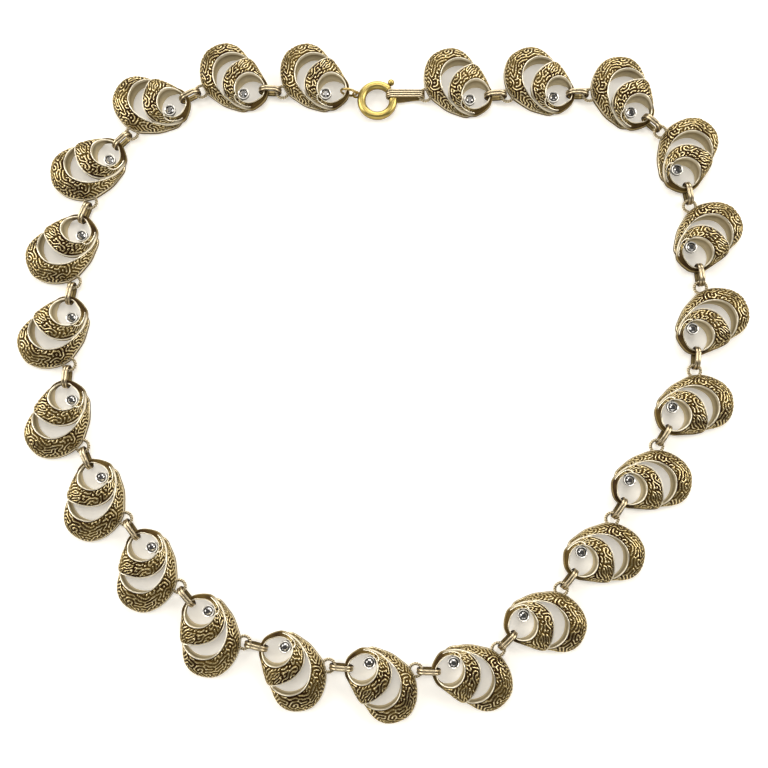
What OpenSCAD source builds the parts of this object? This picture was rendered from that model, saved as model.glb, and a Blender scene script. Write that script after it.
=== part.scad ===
// A short necklace of twenty-three cast shell links, each with one small round marcasite.
// It lies flat and closed, as it is stored: millimetres, +Z up, the table at Z = 0.
// The clasp is at the +Y end, and +X runs across the widest part of the loop.
//
// Each link has its own small frame: X runs along the chain, from the narrow end to the
// twisted loop, Y points at the neck, and Z = 0 is the table.

/* [Cast shell links] */
// Height of the highest rim over the table
shell_height = 4.92; // [4.7:0.02:5.1]
// Thickness of the cast metal where a shell is hollow behind
shell_wall = 0.7; // [0.5:0.05:0.8]
// Height of the plain ledge round the foot of the outer shell
foot_ledge = 0.7; // [0.4:0.05:0.9]
// Height at which the round eye's inner wall ends, over the table
eye_wall_foot = 0.35; // [0.2:0.05:0.5]

/* [Marcasite and its bezel] */
// Diameter of the round stone across its corners
stone_d = 1.74; // [1.5:0.02:1.8]
// Number of crown facets
stone_facets = 8; // [8:1:10]
// Outer diameter of the bezel cup
bezel_d = 2.36; // [2.3:0.02:2.5]
// Height of the bezel's rim over the table
bezel_top = 3.85; // [3.6:0.05:4.0]

/* [Twisted loop] */
// Mean diameter of the soldered loop
loop_d = 2.44; // [2.4:0.02:2.6]
// Thickness of the twisted wire
loop_wire = 0.66; // [0.5:0.02:0.7]
// Height of the loop's middle over the table
loop_z = 1.2; // [1.1:0.05:1.3]

/* [Folded connectors] */
// Length of a folded connector, outside
connector_l = 4.76; // [4.72:0.02:4.84]
// Height of a folded connector, outside
connector_h = 3.46; // [3.46:0.02:3.6]
// Width of the folded strip
connector_w = 1.1; // [1.0:0.05:1.3]
// Thickness of the strip between its ribs
strip_t = 0.27; // [0.22:0.01:0.28]
// How far the ribs stand up from the strip
rib_rise = 0.08; // [0.05:0.01:0.08]

/* [Spring ring clasp] */
// Mean diameter of the ring
ring_d = 6.5; // [6.4:0.05:6.6]
// Outer diameter of the ring's tube
tube_d = 1.7; // [1.64:0.01:1.72]
// Diameter of the bore that the bolt slides in
tube_bore_d = 1.2; // [1.16:0.01:1.22]
// Diameter of the curved bolt
bolt_d = 1.06; // [1.0:0.01:1.06]
// Diameter of the thumb ball on the bolt
ball_d = 1.36; // [1.2:0.02:1.4]
// Height of the ring's middle over the table
ring_z = 1.28; // [1.26:0.01:1.32]
// How far the bolt turns back round the ring when the clasp is opened, degrees
bolt_travel = 40; // [34:1:44]

/* [Jump ring and end tag] */
// Inner diameter of the round jump ring
jump_inner_d = 2.7; // [2.66:0.02:2.8]
// Thickness of the jump ring's wire
jump_wire = 0.5; // [0.42:0.01:0.5]
// Width of the ribbed end tag at the clasp
tag_w_clasp = 1.5; // [1.4:0.05:1.55]
// Width of the ribbed end tag at the last link
tag_w_link = 1.3; // [1.1:0.05:1.3]
// How far the tag's lower leaf reaches to the wearer's side of its middle line
tag_under = 1.4; // [1.2:0.05:1.5]

/* [Hidden] */
round_fn = 48;
eps = 0.01;

// How the chain lies. One row a link: the way the link points and the way the connector after
// it points, in degrees from +X, and the straight distance from this link's loop to the middle
// of the next link's eye. The end tag takes the place of a connector after the last link.
LINK_WAY = 0;
CONNECTOR_WAY = 1;
PULL = 2;
LIE = [
    [182, 178, 6.2], [181, 207, 6.2], [216, 224, 6.5], [252, 249, 6.4], [268, 260, 6.4],
    [274, 266, 6.5], [291, 293, 6.4], [308, 305, 6.5], [313, 310, 6.4], [327, 346, 6.5],
    [345, 355, 6.4], [359, 358, 6.4], [24, 45, 6.4], [42, 52, 6.5], [54, 57, 6.5],
    [58, 58, 6.5], [65, 85, 6.5], [84, 96, 6.4], [96, 99, 6.2], [116, 138, 6.2],
    [160, 179, 6.3], [182, 183, 6.4], [178, 178, 0]];
LINKS = len(LIE);

// Places in a link's own frame
loop_at = [6.45, 2.7];
eye_at = [-4.0, 2.8];
bezel_at = [-2.5, 4.3];
bezel_arm_way = 38;
eye_band_r = 2.75;

// The first link's place, set so that the whole necklace is centred on the origin
first_link = [-14.41, 60.62];

// Columns of the two tables below: a point on the inner rim, and a point on the outer edge
// with the height of its top and of its foot.
IX = 0;
IY = 1;
IZ = 2;
OX = 3;
OY = 4;
OZ = 5;
FOOT = 6;

// Outer shell: a domed crescent, from the notch round the wide end to the loop side
OUTER_SHELL = [
    [-3.90, -2.50, 2.20, -3.85, -3.60, foot_ledge, 0],
    [-3.05, -3.45, 3.00, -2.95, -4.60, foot_ledge, 0],
    [-1.95, -4.00, 3.45, -2.10, -5.75, foot_ledge, 0],
    [-0.60, -4.20, 3.90, -0.70, -6.95, foot_ledge, 0],
    [0.70, -4.00, 4.15, 1.30, -7.50, foot_ledge, 0],
    [1.90, -3.35, 4.30, 3.50, -7.05, foot_ledge, 0],
    [2.80, -2.45, 4.35, 5.50, -5.78, foot_ledge, 0],
    [3.35, -1.25, 4.35, 6.60, -3.65, foot_ledge, 0],
    [3.50, 0.10, 4.35, 6.86, -1.30, foot_ledge, 0],
    [3.30, 1.50, 4.25, 6.45, 1.00, foot_ledge, 0],
    [2.75, 2.80, 4.05, 5.40, 2.90, foot_ledge, 0],
    [1.85, 3.95, 3.60, 3.75, 4.30, foot_ledge, 0],
    [0.70, 4.85, 2.60, 1.85, 5.60, foot_ledge, 0],
    [-0.80, 5.45, 1.50, -0.25, 6.38, foot_ledge, 0],
    [-2.15, 5.90, 1.15, -1.97, 6.82, foot_ledge, 0],
    [-3.30, 5.90, 1.40, -3.35, 6.45, foot_ledge, 0]];

// Inner shell: a closed ring round the eye, from the narrow end past the notch, over the
// crescent gap, where its edge is a lip, and back along the loop side
INNER_SHELL = [
    [-6.50, 2.80, 2.60, -7.28, 2.85, 2.00, 0.90],
    [-6.34, 1.92, 2.80, -7.12, 1.50, 1.80, 0.70],
    [-5.85, 1.15, 3.40, -6.50, 0.25, 1.40, 0.30],
    [-5.10, 0.65, 4.10, -5.75, -1.15, 1.10, 0.05],
    [-4.25, 0.42, 4.55, -4.98, -2.55, 1.05, 0.00],
    [-3.40, 0.48, 4.80, -4.10, -3.60, 1.50, 0.10],
    [-2.75, 0.70, 4.88, -3.05, -3.55, 3.00, 1.90],
    [-2.20, 1.05, 4.92, -1.80, -2.95, 3.60, 2.75],
    [-1.65, 1.58, 4.92, -0.35, -1.95, 3.80, 2.90],
    [-1.22, 2.30, 4.90, 0.90, -0.66, 3.82, 2.95],
    [-0.97, 3.20, 4.80, 1.70, 0.95, 3.74, 2.85],
    [-0.98, 4.20, 4.55, 1.88, 2.70, 3.46, 2.60],
    [-1.40, 5.10, 4.10, 1.35, 4.30, 2.90, 2.10],
    [-2.20, 5.70, 3.60, 0.05, 5.58, 2.10, 1.35],
    [-3.20, 5.85, 3.10, -1.80, 6.40, 1.40, 0.70],
    [-4.30, 5.55, 2.75, -3.82, 6.72, 1.25, 0.50],
    [-5.25, 4.98, 2.60, -5.27, 6.13, 1.60, 0.75],
    [-5.98, 4.40, 2.60, -6.58, 5.05, 2.00, 0.90],
    [-6.36, 3.66, 2.60, -7.12, 4.05, 2.00, 0.90]];
table_height = 4.92;
rise = shell_height / table_height;

// Shape of a shell's wall, in shares of the band's width from the inner rim
dome_low = 35;
dome_high = 65;
hollow_mid = 0.45;
band_solid_w = 1.1;
band_hollow_w = 2.0;
narrow_foot = 0.9;

// Clasp angles round the ring's middle, in degrees from +X
gap_from = 5;
gap_to = 45;
bolt_from = -1;
bolt_to = 76;
post_way = 53.5;
slot_from = 48;
slot_to = post_way + bolt_travel + 5;
lug_way = 164;
tag_way = 21;
ring_r = ring_d / 2;
ball_r_out = 4.75;
post_d = 0.56;
slot_w = 0.74;
lug_r = 0.6;
lug_wire = 0.4;
lug_from_ring = 4.55;

// Where the jump ring stands between the first link's eye and the lug
jump_way = -10;
jump_from_band = 0.45;
jump_r = (jump_inner_d + jump_wire) / 2;
jump_z = jump_r + jump_wire / 2 + 0.02;

function clamp01(t) = min(1, max(0, t));
function dir(a) = [cos(a), sin(a)];
function turned(p, a) = [p[0] * cos(a) - p[1] * sin(a), p[0] * sin(a) + p[1] * cos(a)];

// The middles of the links, walked from one to the next: out to this link's loop, along the
// connector, and back from the next link's eye
PLACES = [
    for (i = 0, p = first_link;
         i < LINKS;
         p = p + turned(loop_at, LIE[i][LINK_WAY]) + LIE[i][PULL] * dir(LIE[i][CONNECTOR_WAY])
             - turned(eye_at, LIE[min(i + 1, LINKS - 1)][LINK_WAY]),
         i = i + 1)
        p];
function on_link(i, p) = PLACES[i] + turned(p, LIE[i][LINK_WAY]);

first_eye = on_link(0, eye_at);
last_loop = on_link(LINKS - 1, loop_at);
jump_at = first_eye + (eye_band_r + jump_from_band) * dir(jump_way);
lug_at = jump_at + sqrt(pow(jump_r, 2) - pow(jump_z - ring_z, 2)) * dir(jump_way);
ring_at = lug_at - lug_from_ring * dir(lug_way);
tag_hook = ring_at + ring_r * dir(tag_way);

// Triangles between two neighbouring sections of n points, the first starting at point a
function strip_faces(a, b, n) = [
    for (k = [0 : n - 1])
        for (tri = [[a + k, a + (k + 1) % n, b + (k + 1) % n], [a + k, b + (k + 1) % n, b + k]])
            tri];
// The end of a shell, cut across its section: the wall is an arch, so the triangles step from
// its outside to its hollow side all the way round
ARCH_END = [[0, 1, 8], [1, 2, 8], [2, 7, 8], [2, 3, 7], [3, 4, 7], [4, 6, 7], [4, 5, 6]];
function cap_faces(a, flip) = [
    for (t = ARCH_END) flip ? [a + t[0], a + t[2], a + t[1]] : [a + t[0], a + t[1], a + t[2]]];

// Height of the dome over its outer edge, where a is 0 at the edge and 90 at the inner rim
function dome_z(row, a) = row[OZ] + (row[IZ] - row[OZ]) * sin(a);

// One section through a shell: the outer edge from foot to top, the dome up to the inner rim,
// the inner wall down to its foot, and the hollow behind
function section(row) =
    let (inner = [row[IX], row[IY]],
         outer = [row[OX], row[OY]],
         w = norm(outer - inner),
         e = (outer - inner) / w,
         wall = min(shell_wall, w / 3),
         lip = min(0.5, w / 3),
         wall_foot = eye_wall_foot + (narrow_foot - eye_wall_foot) * clamp01((1.6 - w) / 0.6),
         open_share = max(0.03, clamp01((w - band_solid_w) / (band_hollow_w - band_solid_w))),
         hollow_foot = max(wall_foot, row[FOOT]),
         roof = dome_z(row, acos(hollow_mid)) - shell_wall,
         roof_z = hollow_foot + open_share * max(0.05, roof - hollow_foot),
         low = outer - e * w * (1 - cos(dome_low)),
         high = outer - e * w * (1 - cos(dome_high)),
         behind_wall = inner + e * wall,
         middle = inner + e * w * hollow_mid,
         behind_lip = outer - e * lip)
    [[outer[0], outer[1], row[FOOT]],
     [outer[0], outer[1], row[OZ] * rise],
     [low[0], low[1], dome_z(row, dome_low) * rise],
     [high[0], high[1], dome_z(row, dome_high) * rise],
     [inner[0], inner[1], row[IZ] * rise],
     [inner[0], inner[1], wall_foot],
     [behind_wall[0], behind_wall[1], wall_foot],
     [middle[0], middle[1], roof_z],
     [behind_lip[0], behind_lip[1], row[FOOT]]];
SECTION_POINTS = len(section(OUTER_SHELL[0]));

module shell_strip(rows, closed) {
    n = SECTION_POINTS;
    count = len(rows);
    spans = closed ? count : count - 1;
    points = [for (row = rows) for (p = section(row)) p];
    sides = [for (i = [0 : spans - 1]) for (t = strip_faces(i * n, ((i + 1) % count) * n, n)) t];
    caps = closed ? [] : concat(cap_faces(0, true), cap_faces((count - 1) * n, false));
    polyhedron(points = points, faces = concat(sides, caps));
}

// Bezel cup with its seat, and the arm that carries it from the eye's wall
module bezel() {
    arm_l = 1.75;
    arm_w = 1.7;
    cup_h = 0.95;
    arm_h = 0.5;
    seat_depth = 0.5;
    translate([bezel_at[0], bezel_at[1], 0])
        difference() {
            union() {
                translate([0, 0, bezel_top - cup_h]) cylinder(h = cup_h, d = bezel_d, $fn = round_fn);
                translate([0, 0, bezel_top - cup_h])
                    rotate(bezel_arm_way)
                        linear_extrude(arm_h)
                            polygon([[0, -arm_w / 2], [arm_l, -0.35], [arm_l, 0.35], [0, arm_w / 2]]);
            }
            translate([0, 0, bezel_top - seat_depth])
                cylinder(h = seat_depth + 1, d = stone_d + 0.1, $fn = round_fn);
        }
}

// Twisted wire loop, soldered flat against the outer shell's side
module twisted_loop() {
    translate([loop_at[0], loop_at[1], loop_z])
        rotate_extrude($fn = round_fn) translate([loop_d / 2, 0]) circle(d = loop_wire, $fn = 24);
}

module place_on_link(i) {
    translate([PLACES[i][0], PLACES[i][1], 0]) rotate(LIE[i][LINK_WAY]) children();
}

// One cast link: two shells, the bezel and the loop are one piece of metal
module cast_link(i) {
    color("goldenrod")
        place_on_link(i)
            union() {
                shell_strip(OUTER_SHELL, false);
                shell_strip(INNER_SHELL, true);
                bezel();
                twisted_loop();
            }
}

// Round stone with a table, crown facets, a short girdle and a flat back
module stone() {
    back = bezel_top - 0.47;
    girdle_h = 0.2;
    crown_h = 0.32;
    table_d = stone_d * 0.56;
    translate([bezel_at[0], bezel_at[1], back]) {
        cylinder(h = girdle_h, d = stone_d, $fn = stone_facets);
        translate([0, 0, girdle_h]) cylinder(h = crown_h, d1 = stone_d, d2 = table_d, $fn = stone_facets);
    }
}

module marcasites() {
    color("dimgray")
        for (i = [0 : LINKS - 1]) place_on_link(i) stone();
}

// Outline of a folded strip seen from its side: two round ends and two flat leaves
module stadium(l, h) {
    union() {
        square([l - h, h], center = true);
        for (s = [-1, 1]) translate([s * (l - h) / 2, 0]) circle(d = h, $fn = round_fn);
    }
}

// A strip folded into a closed ring that stands on edge, with raised ribs along it. It is
// drawn with its length on X and its width on Y.
module folded_strip(l, h, w, ribs) {
    inner_l = l - 2 * (strip_t + rib_rise);
    inner_h = h - 2 * (strip_t + rib_rise);
    rib_w = w / (2 * ribs - 1);
    rotate([90, 0, 0])
        difference() {
            union() {
                linear_extrude(w, center = true) stadium(l - 2 * rib_rise, h - 2 * rib_rise);
                for (k = [0 : ribs - 1])
                    translate([0, 0, (2 * k - ribs + 1) * rib_w])
                        linear_extrude(rib_w, center = true) stadium(l, h);
            }
            linear_extrude(w + 1, center = true) stadium(inner_l, inner_h);
        }
}

// Connectors: each holds one link's loop and the next link's narrow end
module connectors() {
    connector_from_loop = 0.12 + connector_l / 2;
    color("tan")
        for (i = [0 : LINKS - 2])
            let (way = LIE[i][CONNECTOR_WAY],
                 at = on_link(i, loop_at) + connector_from_loop * dir(way))
                translate([at[0], at[1], connector_h / 2 + eps])
                    rotate(way) folded_strip(connector_l, connector_h, connector_w, 2);
}

module jump_ring() {
    color("gold")
        translate([jump_at[0], jump_at[1], jump_z])
            rotate(jump_way) rotate([90, 0, 0])
                rotate_extrude($fn = round_fn) translate([jump_r, 0]) circle(d = jump_wire, $fn = 24);
}

// An arc of round wire or tube about the ring's middle
module ring_arc(from, to, d) {
    rotate(from)
        rotate_extrude(angle = to - from, $fn = round_fn) translate([ring_r, 0]) circle(d = d, $fn = 32);
}

// Ring of the clasp: a bored tube open between the gap's two ends, with a slot for the post
module clasp_ring() {
    tube_to = gap_from + 360;
    color("gold")
        translate([ring_at[0], ring_at[1], ring_z])
            union() {
                difference() {
                    ring_arc(gap_to, tube_to, tube_d);
                    ring_arc(gap_to - 2, bolt_to + bolt_travel + 6, tube_bore_d);
                    ring_arc(gap_from + 350, tube_to + 2, tube_bore_d);
                    rotate(slot_from)
                        rotate_extrude(angle = slot_to - slot_from, $fn = round_fn)
                            translate([ring_r, -slot_w / 2]) square([tube_d, slot_w]);
                }
                rotate(lug_way)
                    translate([lug_from_ring, 0, 0])
                        rotate_extrude($fn = round_fn) translate([lug_r, 0]) circle(d = lug_wire, $fn = 24);
            }
}

// Bolt of the clasp: a curved pin that slides inside the tube, with its thumb post and ball
module clasp_bolt() {
    color("gold")
        translate([ring_at[0], ring_at[1], ring_z])
            union() {
                ring_arc(bolt_from, bolt_to, bolt_d);
                rotate(post_way) translate([ring_r, 0, 0]) rotate([0, 90, 0])
                    cylinder(h = ball_r_out - ring_r, d = post_d, $fn = 24);
                rotate(post_way) translate([ball_r_out, 0, 0]) sphere(d = ball_d, $fn = 32);
            }
}

// Ribbed tag: a long folded strip from the last link's loop to the clasp's bolt. Its lower leaf
// is the wider one and passes under the ring's tube.
module end_tag() {
    way = atan2(last_loop[1] - tag_hook[1], last_loop[0] - tag_hook[0]);
    fold_end = 1.34;
    loop_end = 0.08;
    l = norm(last_loop - tag_hook) + fold_end - loop_end;
    h = 2 * (ring_z - 2 * eps);
    neck = 0.55;
    near = tag_w_clasp / 2;
    far = tag_w_link / 2;
    wide = 2 * tag_under;
    middle = tag_hook + dir(way) * (l / 2 - fold_end);
    color("darkkhaki")
        translate([middle[0], middle[1], ring_z])
            rotate(way)
                intersection() {
                    folded_strip(l, h, wide, 6);
                    union() {
                        linear_extrude(h)
                            polygon([[-l / 2, -neck], [0.9 - l / 2, -near], [l / 2, -far],
                                     [l / 2, far], [0.9 - l / 2, near], [-l / 2, neck]]);
                        translate([0, 0, -h])
                            linear_extrude(h + eps)
                                polygon([[-l / 2, -neck], [0.9 - l / 2, -near], [1.7 - l / 2, -tag_under],
                                         [l / 4, -far - 0.15], [l / 2, -far], [l / 2, far],
                                         [0.9 - l / 2, near], [-l / 2, neck]]);
                    }
                }
}

for (i = [0 : LINKS - 1])
    cast_link(i);
marcasites();
connectors();
jump_ring();
clasp_ring();
clasp_bolt();
end_tag();
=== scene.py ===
# %% [markdown]
# # A cast shell necklace with marcasites
# The necklace is twenty-three cast links, each a pair of domed shells with a scrolled relief,
# a small round marcasite in a cup, and a ring of twisted wire. Ribbed strips join them, and a
# spring ring closes the chain. The pieces' sizes are written in millimetres, and MM turns them
# into the metres that Blender works in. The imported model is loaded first, as the frame to dress.

# %% Load the frame
import math
import bmesh
import bpy
import numpy as np
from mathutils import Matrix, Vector


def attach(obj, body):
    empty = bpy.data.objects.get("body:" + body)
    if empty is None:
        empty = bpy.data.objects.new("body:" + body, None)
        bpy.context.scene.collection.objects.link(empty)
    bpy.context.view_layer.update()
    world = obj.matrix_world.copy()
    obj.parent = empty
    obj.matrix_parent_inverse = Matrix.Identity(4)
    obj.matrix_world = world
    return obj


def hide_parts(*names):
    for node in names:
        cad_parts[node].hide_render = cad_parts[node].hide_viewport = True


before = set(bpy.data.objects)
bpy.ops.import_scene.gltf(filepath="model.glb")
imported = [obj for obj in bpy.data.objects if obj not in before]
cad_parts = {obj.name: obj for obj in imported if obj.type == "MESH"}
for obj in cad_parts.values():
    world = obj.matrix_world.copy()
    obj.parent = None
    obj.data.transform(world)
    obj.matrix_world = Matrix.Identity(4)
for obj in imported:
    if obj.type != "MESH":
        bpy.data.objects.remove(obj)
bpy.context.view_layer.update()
MM = 0.001

# %% [markdown]
# ## The camera
# The photograph looks straight down with a slight lean, and the shells' walls lean outward all
# round the loop. Only a camera close by sees them so. This one is 200 mm away, and its lens
# comes from the photograph's width in pixels.

# %% Camera
PHOTO_WIDE, LENS_IN_PIXELS = 768, 1000
SENSOR_WIDE = 36
LEAN = math.radians(6.1)
FAR = 200 * MM
AIM = Vector((0.05, -2.39, 0)) * MM

cam_data = bpy.data.cameras.new("camera")
cam_data.sensor_width = SENSOR_WIDE
cam_data.lens = SENSOR_WIDE * LENS_IN_PIXELS / PHOTO_WIDE
cam_data.clip_start, cam_data.clip_end = 0.01, 20
camera = bpy.data.objects.new("camera", cam_data)
bpy.context.scene.collection.objects.link(camera)
camera.location = AIM + Vector((0, -FAR * math.sin(LEAN), FAR * math.cos(LEAN)))
camera.rotation_euler = (LEAN, 0, 0)
bpy.context.scene.camera = camera
print("camera", round(FAR / MM), "mm away, lens", round(cam_data.lens, 1), "mm")

# %% [markdown]
# ## Lights
# Metal only looks like metal when it has something to mirror. The necklace lay under large
# soft lights, so these are wide panels with darker room between them: windows to the left, the
# right and the back, one panel overhead, and a weak one in front that lifts the nearer walls.

# %% Lights
LAMP_COLOUR = (1, 0.97, 0.92)
# name, place and size in metres, power in watts
PANELS = [("left_window", (-0.62, 0.12, 0.34), (0.45, 0.60), 4.4),
          ("back_window", (0.05, 0.70, 0.36), (0.80, 0.40), 5.2),
          ("right_soft", (0.62, 0.15, 0.40), (0.36, 0.55), 3.6),
          ("overhead", (-0.06, 0.20, 0.85), (0.34, 0.34), 1.7),
          ("front_fill", (0.0, -0.62, 0.26), (0.90, 0.24), 1.3)]

for name, place, size, power in PANELS:
    lamp_data = bpy.data.lights.new(name, "AREA")
    lamp_data.shape = "RECTANGLE"
    lamp_data.size, lamp_data.size_y = size
    lamp_data.energy = power
    lamp_data.color = LAMP_COLOUR
    lamp = bpy.data.objects.new(name, lamp_data)
    bpy.context.scene.collection.objects.link(lamp)
    lamp.location = place
    to_middle = Vector((0, 0, 0)) - Vector(place)
    lamp.rotation_euler = to_middle.to_track_quat("-Z", "Y").to_euler()
print("panels:", len(PANELS))

# %% [markdown]
# ## The room
# A room gives a little light from all sides. This one stays dim, because bright metal needs
# dark things to mirror as well. Seen from low down, the view goes past the table's far edge.
# Only the camera is shown a pale wall there, so the light on the metal stays as it is.

# %% Room
def wire_up(tree, *pairs):
    """Links the first socket of each pair to the second."""
    for start, end in pairs:
        tree.links.new(start, end)


world = bpy.data.worlds.new("studio")
world.use_nodes = True
sky = world.node_tree
dim_room = sky.nodes["Background"]
dim_room.inputs["Color"].default_value = (0.95, 0.93, 0.89, 1)
dim_room.inputs["Strength"].default_value = 0.14
pale_wall = sky.nodes.new("ShaderNodeBackground")
pale_wall.inputs["Color"].default_value = (0.95, 0.94, 0.91, 1)
pale_wall.inputs["Strength"].default_value = 0.52
looked_at = sky.nodes.new("ShaderNodeLightPath")
either = sky.nodes.new("ShaderNodeMixShader")
wire_up(sky, (looked_at.outputs["Is Camera Ray"], either.inputs["Fac"]),
        (dim_room.outputs[0], either.inputs[1]), (pale_wall.outputs[0], either.inputs[2]),
        (either.outputs[0], sky.nodes["World Output"].inputs["Surface"]))
bpy.context.scene.world = world
bpy.context.scene.view_settings.view_transform = "Standard"
print("room light:", round(dim_room.inputs["Strength"].default_value, 2))

# %% [markdown]
# ## Table
# The necklace lies on a plain white table. It is one flat square that reaches past every view,
# and it is the stage, not a part of the necklace. The helper that makes it makes every later
# piece too: points in millimetres go in, and an object at the origin comes out.

# %% Table
TABLE_HALF, TABLE_Z = 3000, -0.02


def mesh_piece(name, verts_mm, faces, smooth=True):
    """A new object from points in millimetres; its place is in its mesh."""
    mesh = bpy.data.meshes.new(name)
    mesh.from_pydata((np.asarray(verts_mm, float) * MM).tolist(), [], faces)
    mesh.validate()
    mesh.polygons.foreach_set("use_smooth", [smooth] * len(mesh.polygons))
    piece = bpy.data.objects.new(name, mesh)
    bpy.context.scene.collection.objects.link(piece)
    return piece


corners = [(x * TABLE_HALF, y * TABLE_HALF, TABLE_Z)
           for x, y in ((-1, -1), (1, -1), (1, 1), (-1, 1))]
table_top = mesh_piece("table_top", corners, [(0, 1, 2, 3)])
print("table top:", 2 * TABLE_HALF, "mm square")

# %% [markdown]
# ## Beginning a finish
# A finish is a small node tree on Blender's Principled shader, which can be both the gold and
# the dull crust on it. Building the tree in code keeps every number in sight. These helpers
# begin one and add a node with its settings in one line.

# %% Node helpers
def finish(name):
    mat = bpy.data.materials.new(name)
    mat.use_nodes = True
    return mat, mat.node_tree, mat.node_tree.nodes["Principled BSDF"]


def add(tree, kind, **settings):
    """A new node. A setting with a capital is an input's number, any other a property."""
    node = tree.nodes.new(kind)
    for key, value in settings.items():
        if key[0].isupper():
            node.inputs[key.replace("_", " ")].default_value = value
        else:
            setattr(node, key, value)
    return node


print("Blender", bpy.app.version_string, "builds the finishes")

# %% [markdown]
# ## What a finish reads
# A finish can read object coordinates, for noise and for the height over the table, and numbers
# that are stored on a piece's own points, such as how high a point lies in the relief. Both
# stay with the mesh, so the pattern never slides, and nothing depends on where one looks from.

# %% Helpers that read the surface
def noise(tree, spots, detail):
    """Noise on object coordinates, with so many spots to a metre."""
    coords = add(tree, "ShaderNodeTexCoord")
    tex = add(tree, "ShaderNodeTexNoise", Scale=spots, Detail=detail)
    tree.links.new(coords.outputs["Object"], tex.inputs["Vector"])
    return tex.outputs["Fac"]


def attribute(tree, name):
    return add(tree, "ShaderNodeAttribute", attribute_name=name).outputs["Fac"]


def height_mm(tree):
    """Height over the table in millimetres."""
    coords = add(tree, "ShaderNodeTexCoord")
    parts = add(tree, "ShaderNodeSeparateXYZ")
    scaled = add(tree, "ShaderNodeMath", operation="MULTIPLY")
    scaled.inputs[1].default_value = 1 / MM
    wire_up(tree, (coords.outputs["Object"], parts.inputs[0]),
            (parts.outputs["Z"], scaled.inputs[0]))
    return scaled.outputs[0]


print("a metre is", round(1 / MM), "mm")

# %% [markdown]
# ## What a finish makes of it
# A number from the surface is stretched to the range that matters and then mixes two colours
# or steers the roughness. Grain too fine for the mesh is bump, which tilts the shading only.

# %% Helpers that mix and grain
GRAIN_DEPTH = 0.02
FINE_GRAIN, ROLLED_GRAIN = 9000, 3000
MIDDLE_OF_NOISE = (0.3, 0.7)


def blend(tree, fac, low, high):
    """Mixes two colours, each given as a colour or as a socket."""
    mix = add(tree, "ShaderNodeMix", data_type="RGBA")
    for end, value in (("A", low), ("B", high)):
        socket = [s for s in mix.inputs if s.name == end and s.type == "RGBA"][0]
        if isinstance(value, tuple):
            socket.default_value = value + (1,)
        else:
            tree.links.new(value, socket)
    tree.links.new(fac, mix.inputs[0])
    return [s for s in mix.outputs if s.type == "RGBA"][0]


def span(tree, value, low, high, to_low=0.0, to_high=1.0):
    """Maps a value from one range to another, smoothly, and clamps it."""
    node = add(tree, "ShaderNodeMapRange", interpolation_type="SMOOTHSTEP",
               From_Min=low, From_Max=high, To_Min=to_low, To_Max=to_high)
    tree.links.new(value, node.inputs["Value"])
    return node.outputs["Result"]


def grained(tree, shader, spots, strength):
    """A fine grain in the surface."""
    bump = add(tree, "ShaderNodeBump", Strength=strength, Distance=GRAIN_DEPTH * MM)
    wire_up(tree, (noise(tree, spots, 2), bump.inputs["Height"]),
            (bump.outputs["Normal"], shader.inputs["Normal"]))


def uneven_shine(tree, shader, spots, low, high):
    """Roughness that drifts between two values, as on metal that is often handled."""
    drift = span(tree, noise(tree, spots, 3), *MIDDLE_OF_NOISE, low, high)
    tree.links.new(drift, shader.inputs["Roughness"])


print("grain depth", GRAIN_DEPTH, "mm")

# %% [markdown]
# ## The shells' finish
# The castings are gilt, were left to darken, and were then rubbed. In the recesses the patina
# stays, brown in places and olive in others. The ridges are old gold, and the plain rims are pale
# and bright. The crests are rubbed paler, and their pale colour is also a painted highlight that
# whitens the shine on the ridge tops. Paint could not follow scrolls this small, so the height in
# the relief itself steers the colour. On the walls inside the openings the same number carries
# painted shade under the rim and a painted reflection of the white table towards the foot.
# Patina is a dull crust, so roughness and metal follow the relief too, and the crust's own weak
# shine is kept low and warm.

# %% Finish of the shells
PATINA, OLIVE = (0.020, 0.007, 0.001), (0.074, 0.044, 0.010)
DULL_GOLD, OLD_GOLD = (0.42, 0.32, 0.13), (0.58, 0.45, 0.20)
CREST_HIGHLIGHT_GOLD, PALE_GOLD = (0.73, 0.65, 0.45), (0.77, 0.71, 0.57)
CRUST_ROUGH, RUBBED_ROUGH = 0.55, 0.27
CRUST_METAL = 0.40

shell_gilt, tree, bsdf = finish("shell_gilt")
relief_height = attribute(tree, "relief")
ridge = span(tree, relief_height, 0.25, 0.85)
# the crests' paler gold is rubbed wear and also a painted highlight on the ridge tops
crest = span(tree, relief_height, 0.75, 1.0)
gold = blend(tree, span(tree, noise(tree, 420, 4), 0.35, 0.65), DULL_GOLD, OLD_GOLD)
crust = blend(tree, span(tree, noise(tree, 260, 3), 0.38, 0.62), PATINA, OLIVE)
# patina and rubbed gold by the relief, a painted highlight on the crests, and on the walls painted
# shade and reflection
wear_and_painted_light = blend(tree, crest, blend(tree, ridge, crust, gold), CREST_HIGHLIGHT_GOLD)
# pale rims, and at the walls' foot a painted reflection of the white table
colour = blend(tree, attribute(tree, "rim"), wear_and_painted_light, PALE_GOLD)
rough = span(tree, ridge, 0, 1, CRUST_ROUGH, RUBBED_ROUGH)
metal = span(tree, ridge, 0, 0.6, CRUST_METAL, 1.0)
wire_up(tree, (colour, bsdf.inputs["Base Color"]), (rough, bsdf.inputs["Roughness"]),
        (metal, bsdf.inputs["Metallic"]))
bsdf.inputs["Specular IOR Level"].default_value = 0.10
bsdf.inputs["Specular Tint"].default_value = (0.92, 0.84, 0.64, 1)
grained(tree, bsdf, FINE_GRAIN, strength=0.25)
print("shell finish:", len(tree.nodes), "nodes")
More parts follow.
